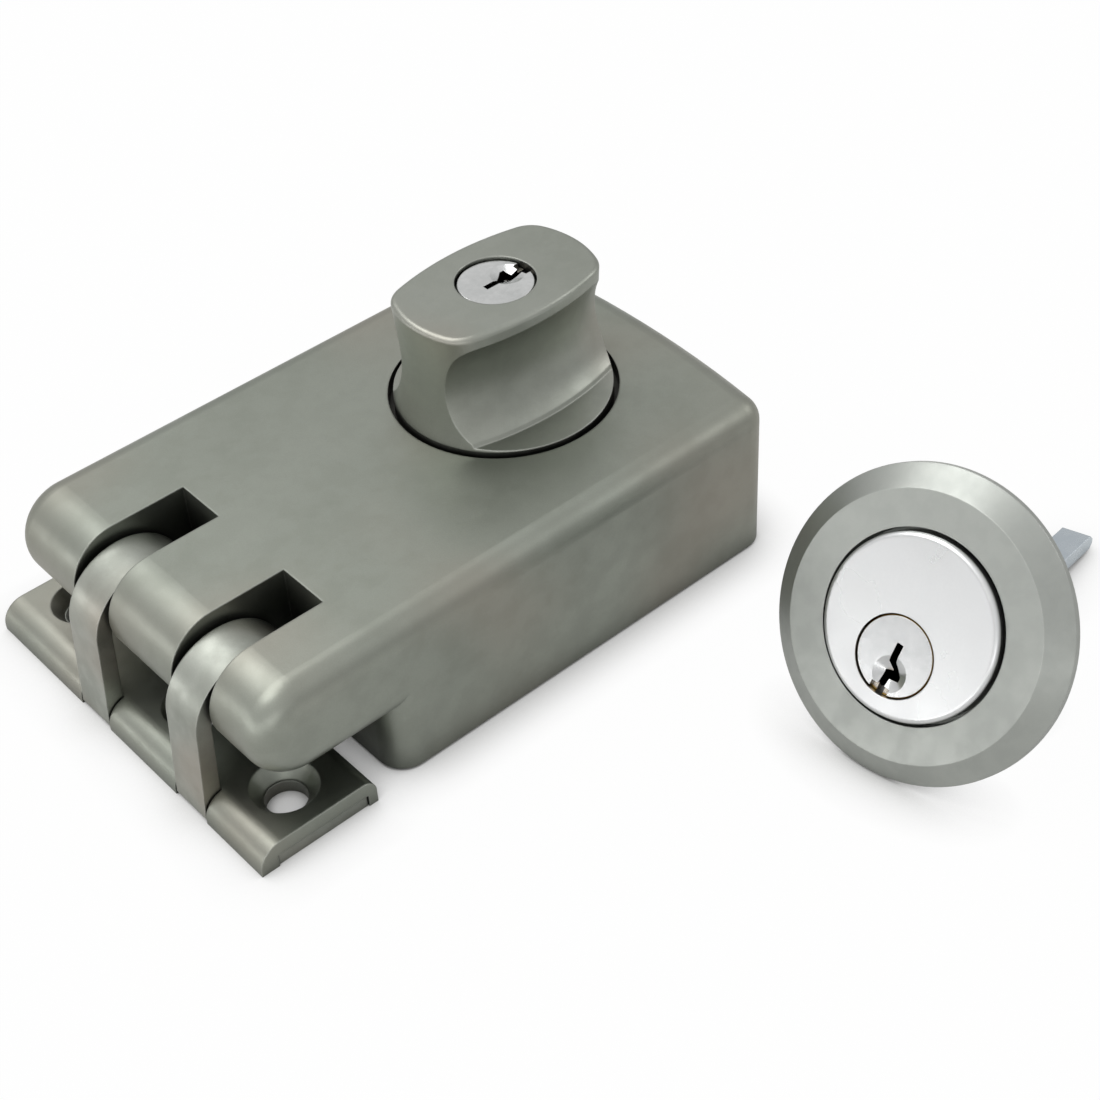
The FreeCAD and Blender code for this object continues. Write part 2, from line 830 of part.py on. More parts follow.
barrel_radius = d.plug_radius + d.plug_gap + d.barrel_wall
seat_radius = barrel_radius + 0.1
bible_seat = d.bible_reach + 0.2
bible_gap = d.bible_half + 0.1
hub = new_body("drive_hub")
turn_profile(hub, "Revolution", [
    (0, d.hub_lift), (d.journal_radius, d.hub_lift), (d.journal_radius, journal_top),
    (d.hub_barrel, journal_top), (d.hub_barrel, web_low), (d.hub_web, web_low),
    (d.hub_web, web_top), (0, web_top)])
add_rounds(hub, "XY", [(-crank, crank, d.crank_pin), (crank, -crank, d.pillar_radius)],
           web_top - 0.5, drum_low + 0.5)
turn_profile(hub, "Revolution", [
    (0, drum_low), (d.drum_radius, drum_low), (d.drum_radius, flange_low),
    (d.flange_radius, flange_low), (d.flange_radius, flange_top), (0, flange_top)])
long_half = d.tail_slot_long / 2
short_half = d.tail_slot_short / 2
cross = [
    (-long_half, -short_half), (-short_half, -short_half), (-short_half, -long_half),
    (short_half, -long_half), (short_half, -short_half), (long_half, -short_half),
    (long_half, short_half), (short_half, short_half), (short_half, long_half),
    (-short_half, long_half), (-short_half, short_half), (-long_half, short_half),
]
cut_prism(hub, "XY", cross, 0, d.hub_lift + d.tail_slot_depth)
dog_room = d.dog_half + 0.1
cut_prism(hub, "XY", rectangle(-d.dog_tail - 0.2, -dog_room, d.drum_radius + over, dog_room),
          dog_low - 0.1, dog_top + 0.1)
cut_rounds(hub, "XY", [(0, 0, d.cam_radius + 0.3)], dog_top, barrel_low)
cut_rounds(hub, "XY", [(0, 0, seat_radius)], barrel_low, flange_top)
cut_prism(hub, "XY", rectangle(-bible_seat, -bible_gap, 0, bible_gap), barrel_low,
          flange_top)
ball_z = (dog_low + dog_top) / 2
cut_rounds(hub, "YZ", [(0, ball_z, d.ball_radius + 0.1)], -d.drum_radius - over,
           d.ball_hole_end)
knob_screw_places = [(d.knob_screw_x, d.knob_screw_y * side) for side in (-1, 1)]
screw_seat = drum_low + 2.4
for x, y in knob_screw_places:
    cut_rounds(hub, "XY", [(x, y, d.knob_screw_head + 0.2)], drum_low, screw_seat)
    cut_rounds(hub, "XY", [(x, y, d.knob_screw + 0.1)], screw_seat, flange_top)
keep("drive_hub", hub)

roller = cut("crank_roller", rod("roller_disc", "Z", (-crank, crank), web_top + 0.3,
                                 drum_low - 0.3, d.roller_radius),
             [rod("roller_hole", "Z", (-crank, crank), web_low, drum_low,
                  d.crank_pin + 0.1)])
keep("crank_roller", roller)

keep("detent_ball", ball("detent_ball", (d.ball_x, 0, ball_z), d.ball_radius))
spring_end = d.ball_x + d.ball_radius * 0.7
spring = cut("detent_spring", rod("spring_tube", "X", (0, ball_z), spring_end,
                                  d.ball_hole_end, d.ball_radius - 0.2),
             [rod("spring_inside", "X", (0, ball_z), spring_end - over,
                  as_size(d.ball_hole_end) + over, d.ball_radius - 0.2 - d.spring_wall)])
keep("detent_spring", spring)

keep("knob_screws", group("knob_screws", [
    pan_screw_up("knob_screw", x, y, drum_low + 0.1, screw_seat, knob_screw_top,
                 d.knob_screw, d.knob_screw_head) for x, y in knob_screw_places]))

# lock ring under the roof of the case, and the dog that slides into its notches

ring = new_body("lock_ring")
ring_top = ring_low + d.ring_thick
add_rounds(ring, "XY", [(0, 0, d.ring_radius)], ring_low, ring_top)
add_rounds(ring, "XY", [(x, y, d.ear_radius) for x, y in ears], ring_low, ring_top)
notch = d.dog_half + 0.2
notch_reach = d.dog_tip + d.dog_throw + 1.5
cut_rounds(ring, "XY", [(0, 0, d.drum_radius + d.ring_gap)], ring_low, ring_top)
cut_prism(ring, "XY", rectangle(-notch_reach, -notch, notch_reach, notch), ring_low, ring_top)
cut_prism(ring, "XY", rectangle(-notch, -notch_reach, notch, notch_reach), ring_low, ring_top)
cut_rounds(ring, "XY", [(x, y, d.ring_screw + 0.15) for x, y in ears], ring_low, ring_top)
keep("lock_ring", ring)

keep("lock_ring_screws", group("lock_ring_screws", [
    pan_screw_up("ring_screw", x, y, ring_low - 1.6, ring_low, roof - 2, d.ring_screw,
                 d.ring_screw_head) for x, y in ears]))

cam_x = d.dog_throw / 2
cam_play = d.cam_pin + 0.1
dog = new_body("lock_dog")
add_prism(dog, "XY", rectangle(-d.dog_tail, -d.dog_half, d.dog_tip, d.dog_half), dog_low,
          dog_top)
cut_prism(dog, "XY", rectangle(-cam_x - cam_play, -cam_x * 1.4142 - cam_play,
                               -cam_x + cam_play, -cam_x + cam_play), dog_low, dog_top)


def dog_tip_edge(edge):
    return all(abs(v.Point.x - d.dog_tip.value) < 0.001 and abs(v.Point.y) > 1
               for v in edge.Vertexes) and edge.Length < d.dog_thick.value + 0.1


dress(dog, "Chamfer", dog_tip_edge, 0.8)
keep("lock_dog", dog)

# knob: a turned blank with the grip hollowed from both sides; each hollow ends at a ridge,
# with a shallow shelf from there to the rim

knob = new_body("knob")
turn_profile(knob, "Revolution", [
    (0, flange_top), (d.knob_base, flange_top), (d.knob_base, knob_base_top, d.waist_radius, -1),
    (d.knob_radius, knob_top), (0, knob_top)])
lip_radius = d.grip_half + d.grip_arc
blank = d.knob_base + over
lip_y = root(lip_radius * lip_radius - blank * blank) - d.grip_arc
lip_end = lip_low - 7
cut_prism(knob, "XY", [
    (-blank, -lip_y, lip_radius, 1), (blank, -lip_y), (blank, -blank - 5),
    (-blank, -blank - 5)], lip_end, knob_top)
cut_prism(knob, "XY", [
    (blank, lip_y, lip_radius, 1), (-blank, lip_y), (-blank, blank + 5), (blank, blank + 5)],
    lip_end, knob_top)


def grip_corner_edge(edge):
    box = edge.BoundBox
    steep = box.XLength < 2 and box.YLength < 2
    tall = box.ZLength > 5 and box.ZMax > knob_top.value - 0.1
    return steep and tall and abs(box.YMax) > 2


dress(knob, "Fillet", grip_corner_edge, d.grip_corner)
dress(knob, "Fillet", level_with(knob_top), d.grip_edge)
for axis in (d.grip_arc, -d.grip_arc):
    turn_profile(knob, "Groove", [
        (d.grip_arc + d.grip_half, lip_low, d.scoop_radius, 1),
        (d.grip_arc + d.ridge_half, ridge_height),
        (d.grip_arc + d.ridge_half + d.ridge_run, shelf_height),
        (d.grip_arc + d.knob_base + 0.3, knob_base_top - 0.1),
        (d.grip_arc + d.knob_base + 6, knob_base_top - 0.1),
        (d.grip_arc + d.knob_base + 6, knob_top + over),
        (d.grip_arc + d.grip_half + 0.8, knob_top + over),
        (d.grip_arc + d.grip_half + 0.8, lip_low),
    ], "XZ", axis)
cut_rounds(knob, "XY", [(0, 0, seat_radius)], flange_top, knob_roof)
cut_prism(knob, "XY", rectangle(-bible_seat, -bible_gap, 0, bible_gap), flange_top,
          knob_roof)
cut_rounds(knob, "XY", [(0, 0, d.knob_mouth)], knob_roof - over, knob_top)
cut_rounds(knob, "XY", [(x, y, d.knob_screw + 0.1) for x, y in knob_screw_places],
           flange_top, knob_screw_top + 0.1)
keep("knob", knob)

# key cylinders: a barrel, a plug with its keyway and five pin stacks in each

plug_bore = d.plug_radius + d.plug_gap
chamber = d.pin_radius + d.pin_gap
key_pin_end = d.plug_radius - 0.2
driver_start = d.plug_radius + 0.15
driver_end = driver_start + d.driver_length


def keyway(body, middle, low, face):
    # a slot with one jog, open at the edge of the plug away from the pins; its mouth is
    # funnelled, and the edge of the plug is notched there
    start = middle - d.key_end
    edge = middle + d.plug_head + over
    jog_start = middle + d.key_jog_start
    jog_end = middle + d.key_jog_end
    slope = d.key_half * 2
    cut_prism(body, "XY", [
        (start, -d.key_half), (jog_start + slope / 3, -d.key_half),
        (jog_start + slope * 4 / 3, d.key_half), (jog_start + slope * 5 / 3, -d.key_half),
        (edge, -d.key_half), (edge, d.key_half), (jog_end, d.key_half),
        (jog_end - slope / 3, d.key_jog), (jog_end - slope, d.key_jog),
        (jog_start, d.key_half), (start, d.key_half),
    ], low, face)
    bottom = face - d.funnel_depth
    turn_profile(body, "Groove", [
        (0, bottom), (d.key_half, bottom), (d.funnel_radius, face),
        (d.funnel_radius, face + over), (0, face + over)],
        "XZ", d.funnel_y, middle + d.funnel_x)
    cut_prism(body, "XY", rectangle(middle + d.plug_head - d.notch_width, -d.notch_half, edge,
                                    d.notch_half), bottom, face)


def pin_heights(first, pitch):
    return [first + pitch * index for index in range(5)]


def pin_row(name, heights, start, end):
    return group(name, [
        rod(name + "_pin", "X", (0, z), start, end, d.pin_radius) for z in heights])


def spring_row(name, heights, start, end):
    coils = []
    for z in heights:
        tube = rod("coil_tube", "X", (0, z), start, end, d.pin_radius - 0.05)
        inside = rod("coil_inside", "X", (0, z), start - over, end + over,
                     d.pin_radius - 0.05 - d.spring_wall)
        coils.append(cut("coil", tube, [inside]))
    return group(name, coils)


heights = pin_heights(barrel_low + d.first_pin, d.pin_pitch)
cover_half = 2.2
cover_low = heights[0] - cover_half
cover_high = heights[4] + cover_half
cover_x = -(d.bible_reach - d.pin_cover)

barrel = new_body("knob_cylinder")
add_rounds(barrel, "XY", [(0, 0, barrel_radius)], barrel_low, barrel_top)
add_prism(barrel, "XY", rectangle(-d.bible_reach, -d.bible_half, 0, d.bible_half),
          barrel_low, barrel_top)
cut_rounds(barrel, "XY", [(0, 0, plug_bore)], barrel_low, barrel_top)
cut_rounds(barrel, "YZ", [(0, z, chamber) for z in heights], cover_x - 0.5, -5)
cut_prism(barrel, "YZ", rectangle(-cover_half, cover_low, cover_half, cover_high),
          -d.bible_reach, cover_x)
keep("knob_cylinder", barrel)

plug = new_body("knob_plug")
head_low = barrel_top + 0.1
turn_profile(plug, "Revolution", [
    (0, cam_top), (d.plug_radius, cam_top), (d.plug_radius, head_low),
    (d.plug_head, head_low), (d.plug_head, plug_face - 0.3), (d.plug_head - 0.3, plug_face),
    (0, plug_face)])
keyway(plug, 0, heights[0] - 2.5, plug_face)
cut_rounds(plug, "YZ", [(0, z, chamber) for z in heights], -d.plug_radius - over, -1)
cam_screw_places = [(0, d.cam_screw_y * side) for side in (-1, 1)]
cut_rounds(plug, "XY", [(x, y, d.cap_screw + 0.05) for x, y in cam_screw_places], cam_top,
           cam_top + 3.1)
keep("knob_plug", plug)

keep("knob_key_pins", pin_row("knob_key_pins", heights, -key_pin_end, -1.2))
keep("knob_driver_pins", pin_row("knob_driver_pins", heights, -driver_end, -driver_start))
keep("knob_pin_springs", spring_row("knob_pin_springs", heights, cover_x, -driver_end))
keep("knob_pin_cover", block("knob_pin_cover", -d.bible_reach, cover_x, -cover_half,
                             cover_half, cover_low, cover_high))

cam_disc = rod("cam_disc", "Z", (0, 0), cam_low, cam_top, d.cam_radius)
cam_stem = rod("cam_stem", "Z", (-cam_x, -cam_x), dog_low + 0.4, cam_low + 0.5, d.cam_pin)
cam_holes = []
for x, y in cam_screw_places:
    cam_holes.append(rod("cam_hole", "Z", (x, y), cam_low, cam_top + over,
                         d.cap_screw + 0.1))
    cam_holes.append(rod("cam_sink", "Z", (x, y), cam_low - over, cam_low + 1.2,
                         d.cap_screw_head + 0.1))
keep("knob_plug_cam", cut("knob_plug_cam", fuse("cam_whole", [cam_disc, cam_stem]), cam_holes))
keep("knob_cam_screws", group("knob_cam_screws", [
    pan_screw_up("cam_screw", x, y, cam_low + 0.2, cam_low + 1.2, cam_top + 3,
                 d.cap_screw, d.cap_screw_head) for x, y in cam_screw_places]))

# strike: the plate, two loops whose feet are staked against its front edge and into notches
# in its back edge, and the cover that clips over it

front_x = -d.nose_reach - d.strike_lead
back_x = front_x + d.strike_width
strike_low = slot_middle + d.strike_shift - d.strike_length / 2
strike_high = strike_low + d.strike_length
plate_front = front_x + d.front_toe
plate_back = back_x - d.back_toe
hole_x = (front_x + back_x) / 2
hole_ys = (strike_low + d.strike_hole_inset, slot_middle, strike_high - d.strike_hole_inset)
inner_top = d.strike_plate + 0.05

cover = new_body("strike_cover")
toe_front = plate_front - d.toe_gap
toe_back = plate_back + d.toe_gap
add_prism(cover, "XZ", [
    (front_x, 0), (toe_front, 0), (toe_front, inner_top), (toe_back, inner_top), (toe_back, 0),
    (back_x, 0), (back_x, d.strike_height - d.strike_back_round, d.strike_back_round, 1),
    (back_x - d.strike_back_round, d.strike_height),
    (front_x + d.strike_round, d.strike_height, d.strike_round, 1),
    (front_x, d.strike_height - d.strike_round),
], strike_low, strike_high)
loop_half = d.loop_width / 2
notch_half = loop_half + d.loop_notch_gap
toe_x = front_x + d.loop_toe_in
heel_x = back_x - d.loop_heel_in
leg_back = heel_x - d.loop_thick
for middle in slots:
    cut_prism(cover, "XY", rectangle(front_x - over, middle - notch_half,
                                     plate_front + d.loop_notch_gap, middle + notch_half),
              -over, d.strike_height + over)
    cut_prism(cover, "XY", rectangle(leg_back - d.loop_notch_gap - 0.5, middle - notch_half,
                                     back_x + over, middle + notch_half),
              -over, d.strike_height + over)
for y in hole_ys:
    turn_profile(cover, "Groove", [
        (0, 1), (d.strike_sink_low, 1), (d.strike_sink_low, inner_top + 0.1),
        (d.strike_sink, d.strike_height), (d.strike_sink, d.strike_height + over),
        (0, d.strike_height + over)], "XZ", y, hole_x)
keep("strike_cover", cover)

base = new_body("strike_plate")
add_prism(base, "XY", rectangle(plate_front, strike_low + 0.3, plate_back, strike_high - 0.3),
          0, d.strike_plate)
inner_radius = d.loop_radius - d.loop_thick
loop_x = bolt_x - d.loop_lead
loop_spring = bolt_height - d.loop_drop
toe_round = 1.0
loop_outline = [
    (plate_front, 0),
    (toe_x + toe_round, 0, toe_round, -1),
    (toe_x, toe_round),
    (loop_x - d.loop_radius, loop_spring, d.loop_radius, -1),
    (loop_x, loop_spring + d.loop_radius, d.loop_radius, -1),
    (loop_x + d.loop_radius, loop_spring),
    (heel_x, 0),
    (leg_back, 0),
    (loop_x + inner_radius, loop_spring, inner_radius, 1),
    (loop_x, loop_spring + inner_radius, inner_radius, 1),
    (loop_x - inner_radius, loop_spring),
    (plate_front, d.strike_plate),
]
for middle in slots:
    cut_prism(base, "XY", rectangle(leg_back, middle - loop_half, plate_back + over,
                                    middle + loop_half), 0, d.strike_plate)
cut_rounds(base, "XY", [(hole_x, y, d.strike_hole) for y in hole_ys], 0, d.strike_plate)
keep("strike_plate", base)

loops = []
for side, middle in zip(("far", "near"), slots):
    loop = new_body(side + "_loop")
    add_prism(loop, "XZ", loop_outline, middle - loop_half, middle + loop_half)
    loops.append(loop)
keep("strike_loops", group("strike_loops", loops))

# outside cylinder: drawn about its own axis, then laid down on the ring's rim and the back
# edge of its body, which gives its lean

lean_run = d.body_back
lean_rise = d.rose_radius - d.body_radius
lean_angle = math.degrees(math.atan2(lean_rise.value, lean_run.value))
upright = FreeCAD.Vector(0, 0, 1)
sideways = FreeCAD.Vector(0, 1, 0)
turn = FreeCAD.Rotation(upright, d.rose_bearing.value)
lean = FreeCAD.Rotation(sideways, 90 - lean_angle)
roll = FreeCAD.Rotation(upright, d.rose_roll.value)
rose_z = d.rose_radius * lean_run / root(lean_run * lean_run + lean_rise * lean_rise)


def stand(item, x, y, z, rotation):
    # moves and turns a piece that is drawn about a point of its own
    item.Placement = FreeCAD.Placement(FreeCAD.Vector(), rotation)
    for letter, size in (("x", x), ("y", y), ("z", z)):
        bind(item, "Placement.Base." + letter, size)
    return item


def lay(name, item):
    return keep(name, stand(item, d.rose_x, d.rose_y, rose_z, turn * lean * roll))


rose = new_body("cylinder_ring")
rim_inner = d.rose_radius - d.rose_wall
hollow = d.rose_height - d.rose_wall
lip_outer = d.rose_mouth + d.rose_wall
turn_profile(rose, "Revolution", [
    (d.rose_lip, 0), (lip_outer, 0), (lip_outer, hollow), (d.rose_face - 0.5, hollow),
    (rim_inner, d.rose_rim - 0.8), (rim_inner, 0), (d.rose_radius, 0),
    (d.rose_radius, d.rose_rim), (d.rose_face, d.rose_height), (d.rose_mouth, d.rose_height),
    (d.rose_mouth, d.rose_lip_thick), (d.rose_lip, d.rose_lip_thick)])
lay("cylinder_ring", rose)

offset = d.plug_offset
head_top = d.rose_height + d.head_proud
head_bore_low = head_top - d.outer_head_depth - 0.2
outer_heights = pin_heights(head_bore_low - d.outer_first_pin, -d.outer_pin_pitch)
outer_cover_x = -(d.body_radius - 2.8)
outer_cover_low = outer_heights[4] - cover_half
outer_cover_high = outer_heights[0] + cover_half
drum = new_body("cylinder_body")
turn_profile(drum, "Revolution", [
    (0, -d.body_back), (d.body_radius, -d.body_back), (d.body_radius, d.rose_lip_thick),
    (d.head_radius, d.rose_lip_thick), (d.head_radius, head_top - d.head_round, d.head_round, 1),
    (d.head_radius - d.head_round, head_top), (0, head_top)])
cut_rounds(drum, "XY", [(offset, 0, plug_bore)], -d.body_back, head_top)
cut_rounds(drum, "XY", [(offset, 0, d.plug_head + 0.1)], head_bore_low, head_top)
cut_rounds(drum, "YZ", [(0, z, chamber) for z in outer_heights], outer_cover_x - 0.5, 0)
cut_prism(drum, "YZ", rectangle(-cover_half, outer_cover_low, cover_half, outer_cover_high),
          -d.body_radius - over, outer_cover_x)
cut_rounds(drum, "XY", [(0, d.connect_y * side, d.connect_thread) for side in (-1, 1)],
           -d.body_back, d.connect_depth - d.body_back)
lay("cylinder_body", drum)

outer_face = head_top - 0.2
outer = new_body("outer_plug")
turn_profile(outer, "Revolution", [
    (0, -d.body_back), (d.plug_radius, -d.body_back), (d.plug_radius, head_bore_low + 0.1),
    (d.plug_head, head_bore_low + 0.1), (d.plug_head, outer_face - 0.3),
    (d.plug_head - 0.3, outer_face), (0, outer_face)], "XZ", 0, offset)
keyway(outer, offset, outer_heights[4] - cover_half, outer_face)
cut_rounds(outer, "YZ", [(0, z, chamber) for z in outer_heights],
           offset - d.plug_radius - over, offset - 1)
tail_turn = math.radians(d.tail_turn.value)
screw_run = d.cap_screw_x * math.cos(tail_turn)
screw_rise = d.cap_screw_x * math.sin(tail_turn)
cut_rounds(outer, "XY", [(offset + screw_run * side, screw_rise * side, d.cap_screw + 0.05)
                         for side in (-1, 1)], -d.body_back, 2.1 - d.body_back)
lay("outer_plug", outer)

lay("outer_key_pins", pin_row("outer_key_pins", outer_heights, offset - key_pin_end,
                              offset - 1.2))
lay("outer_driver_pins", pin_row("outer_driver_pins", outer_heights, offset - driver_end,
                                 offset - driver_start))
lay("outer_pin_springs", spring_row("outer_pin_springs", outer_heights, outer_cover_x,
                                    offset - driver_end))
lay("outer_pin_cover", group("outer_pin_cover", [
    block("outer_cover_strip", -(d.body_radius - 0.3), outer_cover_x, -cover_half, cover_half,
          outer_cover_low, outer_cover_high)]))

# cap over the end of the outside plug, its screws, and the tail bar that swings loosely in it:
# drawn about the bar's pivot, bar along -Z, then turned about the plug's axis

pivot_z = -d.body_back - d.tail_pivot
plug_turn = FreeCAD.Rotation(upright, d.tail_turn.value)
cap_top = d.tail_pivot
cap_back = cap_top - d.tail_cap_thick
tail_half = d.tail_width / 2
tail_side = d.tail_thick / 2
head_half = d.tail_head / 2
swing = math.radians(d.tail_swing.value)
mouth_side = tail_side / math.cos(swing) - cap_back * math.tan(swing) + d.tail_play
head_side = tail_side + d.tail_play
cap_slot = new_body("cap_slot")
add_prism(cap_slot, "XZ", [
    (-head_side, 0), (-mouth_side, cap_back), (-mouth_side, cap_back - over),
    (mouth_side, cap_back - over), (mouth_side, cap_back), (head_side, 0),
], -tail_half - d.tail_play, tail_half + d.tail_play)
cap_cuts = [
    cap_slot,
    rod("cap_seat", "Y", (0, 0), -head_half - d.tail_play, head_half + d.tail_play, head_side),
    block("cap_recess", -head_side, head_side, -head_half - d.tail_play, head_half + d.tail_play,
          0, cap_top + over),
]
cap_sink = cap_back + 1.1
cap_screw_places = [(d.cap_screw_x * side, 0) for side in (-1, 1)]
for x, y in cap_screw_places:
    cap_cuts.append(rod("cap_hole", "Z", (x, y), cap_back, cap_top + over, d.cap_screw + 0.1))
    cap_cuts.append(rod("cap_sink", "Z", (x, y), cap_back - over, cap_sink,
                        d.cap_screw_head + 0.1))
cap_disc = rod("cap_disc", "Z", (0, 0), cap_back, cap_top, d.tail_cap_radius)
cap = cut("cap_turned", cap_disc, cap_cuts)
lay("tail_cap", group("tail_cap", [stand(cap, offset, 0, pivot_z, plug_turn)]))
cap_screws = group("cap_screws", [
    pan_screw_up("cap_screw", x, y, cap_back + 0.1, cap_sink, cap_top + 2, d.cap_screw,
                 d.cap_screw_head) for x, y in cap_screw_places])
lay("tail_cap_screws", group("tail_cap_screws", [stand(cap_screws, offset, 0, pivot_z,
                                                       plug_turn)]))

tail = new_body("tail_flat")
tip = -d.tail_reach
add_prism(tail, "XZ", [
    (d.tail_bevel - tail_side, tip), (tail_side - d.tail_bevel, tip),
    (tail_side, tip + d.tail_bevel), (tail_side, 0),
    (-tail_side, 0), (-tail_side, tip + d.tail_bevel),
], -tail_half, tail_half)
tail_head = rod("tail_head", "Y", (0, 0), -head_half, head_half, tail_side)
tail_whole = fuse("tail_whole", [tail, tail_head])
tail_leans = plug_turn * FreeCAD.Rotation(sideways, d.tail_swing.value)
lay("tail_bar", group("tail_bar", [stand(tail_whole, offset, 0, pivot_z, tail_leans)]))

# check and write

doc.recompute()
for item in doc.Objects:
    if "Invalid" in item.State or "Error" in item.State:
        raise RuntimeError("%s is not valid: %s" % (item.Label, item.State))
os.makedirs("parts", exist_ok=True)
for item in nodes:
    shape = item.Shape
    if shape.isNull() or not shape.isValid():
        raise RuntimeError(item.Label + " has no valid shape")
    shape.exportStep(os.path.join("parts", item.Label + ".step"))
    print(item.Label, len(shape.Solids), round(shape.Volume, 1))
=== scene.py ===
import json
import math

import bpy
from mathutils import Matrix, Vector


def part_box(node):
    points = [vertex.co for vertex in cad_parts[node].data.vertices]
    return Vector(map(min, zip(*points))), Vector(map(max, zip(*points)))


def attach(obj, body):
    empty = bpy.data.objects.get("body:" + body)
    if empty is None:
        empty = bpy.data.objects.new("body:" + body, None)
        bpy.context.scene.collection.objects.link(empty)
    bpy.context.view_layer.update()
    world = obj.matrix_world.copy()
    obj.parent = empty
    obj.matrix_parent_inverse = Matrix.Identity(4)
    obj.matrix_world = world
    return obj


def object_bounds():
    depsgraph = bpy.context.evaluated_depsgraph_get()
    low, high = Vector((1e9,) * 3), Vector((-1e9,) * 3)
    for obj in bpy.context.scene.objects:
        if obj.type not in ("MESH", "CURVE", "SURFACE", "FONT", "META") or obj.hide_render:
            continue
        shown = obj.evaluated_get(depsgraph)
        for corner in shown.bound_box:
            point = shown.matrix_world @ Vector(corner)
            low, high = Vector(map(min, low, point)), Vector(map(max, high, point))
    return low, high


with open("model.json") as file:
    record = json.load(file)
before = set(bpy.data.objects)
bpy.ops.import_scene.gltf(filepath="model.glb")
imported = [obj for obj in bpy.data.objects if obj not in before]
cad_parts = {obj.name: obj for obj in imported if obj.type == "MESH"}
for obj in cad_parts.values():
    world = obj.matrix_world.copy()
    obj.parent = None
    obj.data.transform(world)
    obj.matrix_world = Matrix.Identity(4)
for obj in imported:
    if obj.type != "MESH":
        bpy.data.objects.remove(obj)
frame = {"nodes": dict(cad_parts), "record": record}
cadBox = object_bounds()
nodes = frame["nodes"]
mm = 0.001


# camera

camera = {
    "place": (-181.16, -233.19, 256.70),  # mm
    "azimuth": -39.3,                     # degrees, 0 looks along +Y
    "elevation": 41.86,
    "roll": -3.45,
    "lens": 68.6,                         # mm, on a 36 mm sensor
    "shift": (-0.0055, -0.0010),
}


def aimCamera():
    data = bpy.data.cameras.new("camera")
    data.sensor_width = 36.0
    data.lens = camera["lens"]
    data.shift_x, data.shift_y = camera["shift"]
    data.clip_start = 10 * mm
    data.clip_end = 10.0
    item = bpy.data.objects.new("camera", data)
    bpy.context.scene.collection.objects.link(item)
    turn = math.radians(camera["azimuth"])
    tilt = math.radians(camera["elevation"])
    forward = Vector((-math.sin(turn) * math.cos(tilt), math.cos(turn) * math.cos(tilt),
                      -math.sin(tilt)))
    look = forward.to_track_quat("-Z", "Y").to_matrix()
    roll = Matrix.Rotation(math.radians(camera["roll"]), 3, "Z")
    item.matrix_world = Matrix.Translation(Vector(camera["place"]) * mm) @ (look @ roll).to_4x4()
    bpy.context.scene.camera = item


aimCamera()
print("camera placed")


# colours and shader nodes

def hexColour(text):
    # an sRGB hex value turned to linear light
    parts = [int(text[i:i + 2], 16) / 255 for i in (1, 3, 5)]
    linear = [c / 12.92 if c <= 0.04045 else ((c + 0.055) / 1.055) ** 2.4 for c in parts]
    return (*linear, 1.0)


def newMaterial(name):
    material = bpy.data.materials.new(name)
    material.use_nodes = True
    material.node_tree.nodes.clear()
    return material


def addNode(tree, kind, settings=None, **inputs):
    # settings are the node's own properties, inputs its sockets by name or number
    node = tree.nodes.new(kind)
    for key, value in (settings or {}).items():
        setattr(node, key, value)
    for key, value in inputs.items():
        socket = node.inputs[int(key[1:])] if key[0] == "n" and key[1:].isdigit() \
            else node.inputs[key.replace("_", " ")]
        if isinstance(value, bpy.types.NodeSocket):
            tree.links.new(value, socket)
        else:
            socket.default_value = value
    return node


def times(tree, first, second):
    return addNode(tree, "ShaderNodeMath", {"operation": "MULTIPLY"}, n0=first,
                   n1=second).outputs[0]


# stage: pale floor and soft studio light

stage = {
    "floorSize": 6.0,           # m
    "floorDrop": 0.02,          # mm, how far the card lies under the object
    "floorColour": "#CACAC8",
    "floorGlow": 0.98,          # share of plain white that the camera sees in the open floor
    "contact": 10.0,            # mm, how far the object's contact shadow reaches
    "contactOpen": (0.30, 0.95),  # openness where the shadow is full, and where it ends
    "skyTop": 0.78,
    "skySide": 0.32,
    "skyRise": (-0.1, 0.9),     # heights between which the side turns into the top
    "skyLeft": 1.22,            # the left of the room is the lighter one, as in the photograph
    "skyRight": 0.78,
    "skyAcross": (-0.8, 0.8),   # where the left ends and the right begins
    "whiteInMetal": 0.35,       # how much of the plain white card and room the metal shows
}

# places, aims and sizes in metres
lamps = {
    "overhead": {"place": (-0.25, 0.35, 0.95), "aim": (-0.02, 0.0, 0.0),
                 "size": (1.0, 0.7), "watts": 5.0},
    # a low, wide strip for the cylinder's bright face
    "left": {"place": (-0.95, 0.16, 0.07), "aim": (0.0, -0.05, 0.02),
             "size": (1.6, 0.13), "watts": 1.6},
    "right": {"place": (0.85, -0.45, 0.60), "aim": (0.02, -0.03, 0.0),
              "size": (0.5, 0.4), "watts": 1.2},
    "front": {"place": (-0.75, -0.95, 0.30), "aim": (-0.02, -0.02, 0.0),
              "size": (0.9, 0.3), "watts": 1.2},
}


def whiteShare(tree):
    # 1 for the camera, and a part of it for reflections in the metal
    path = addNode(tree, "ShaderNodeLightPath")
    shiny = times(tree, path.outputs["Is Glossy Ray"], stage["whiteInMetal"])
    return addNode(tree, "ShaderNodeMath", {"operation": "MAXIMUM"},
                   n0=path.outputs["Is Camera Ray"], n1=shiny).outputs[0]


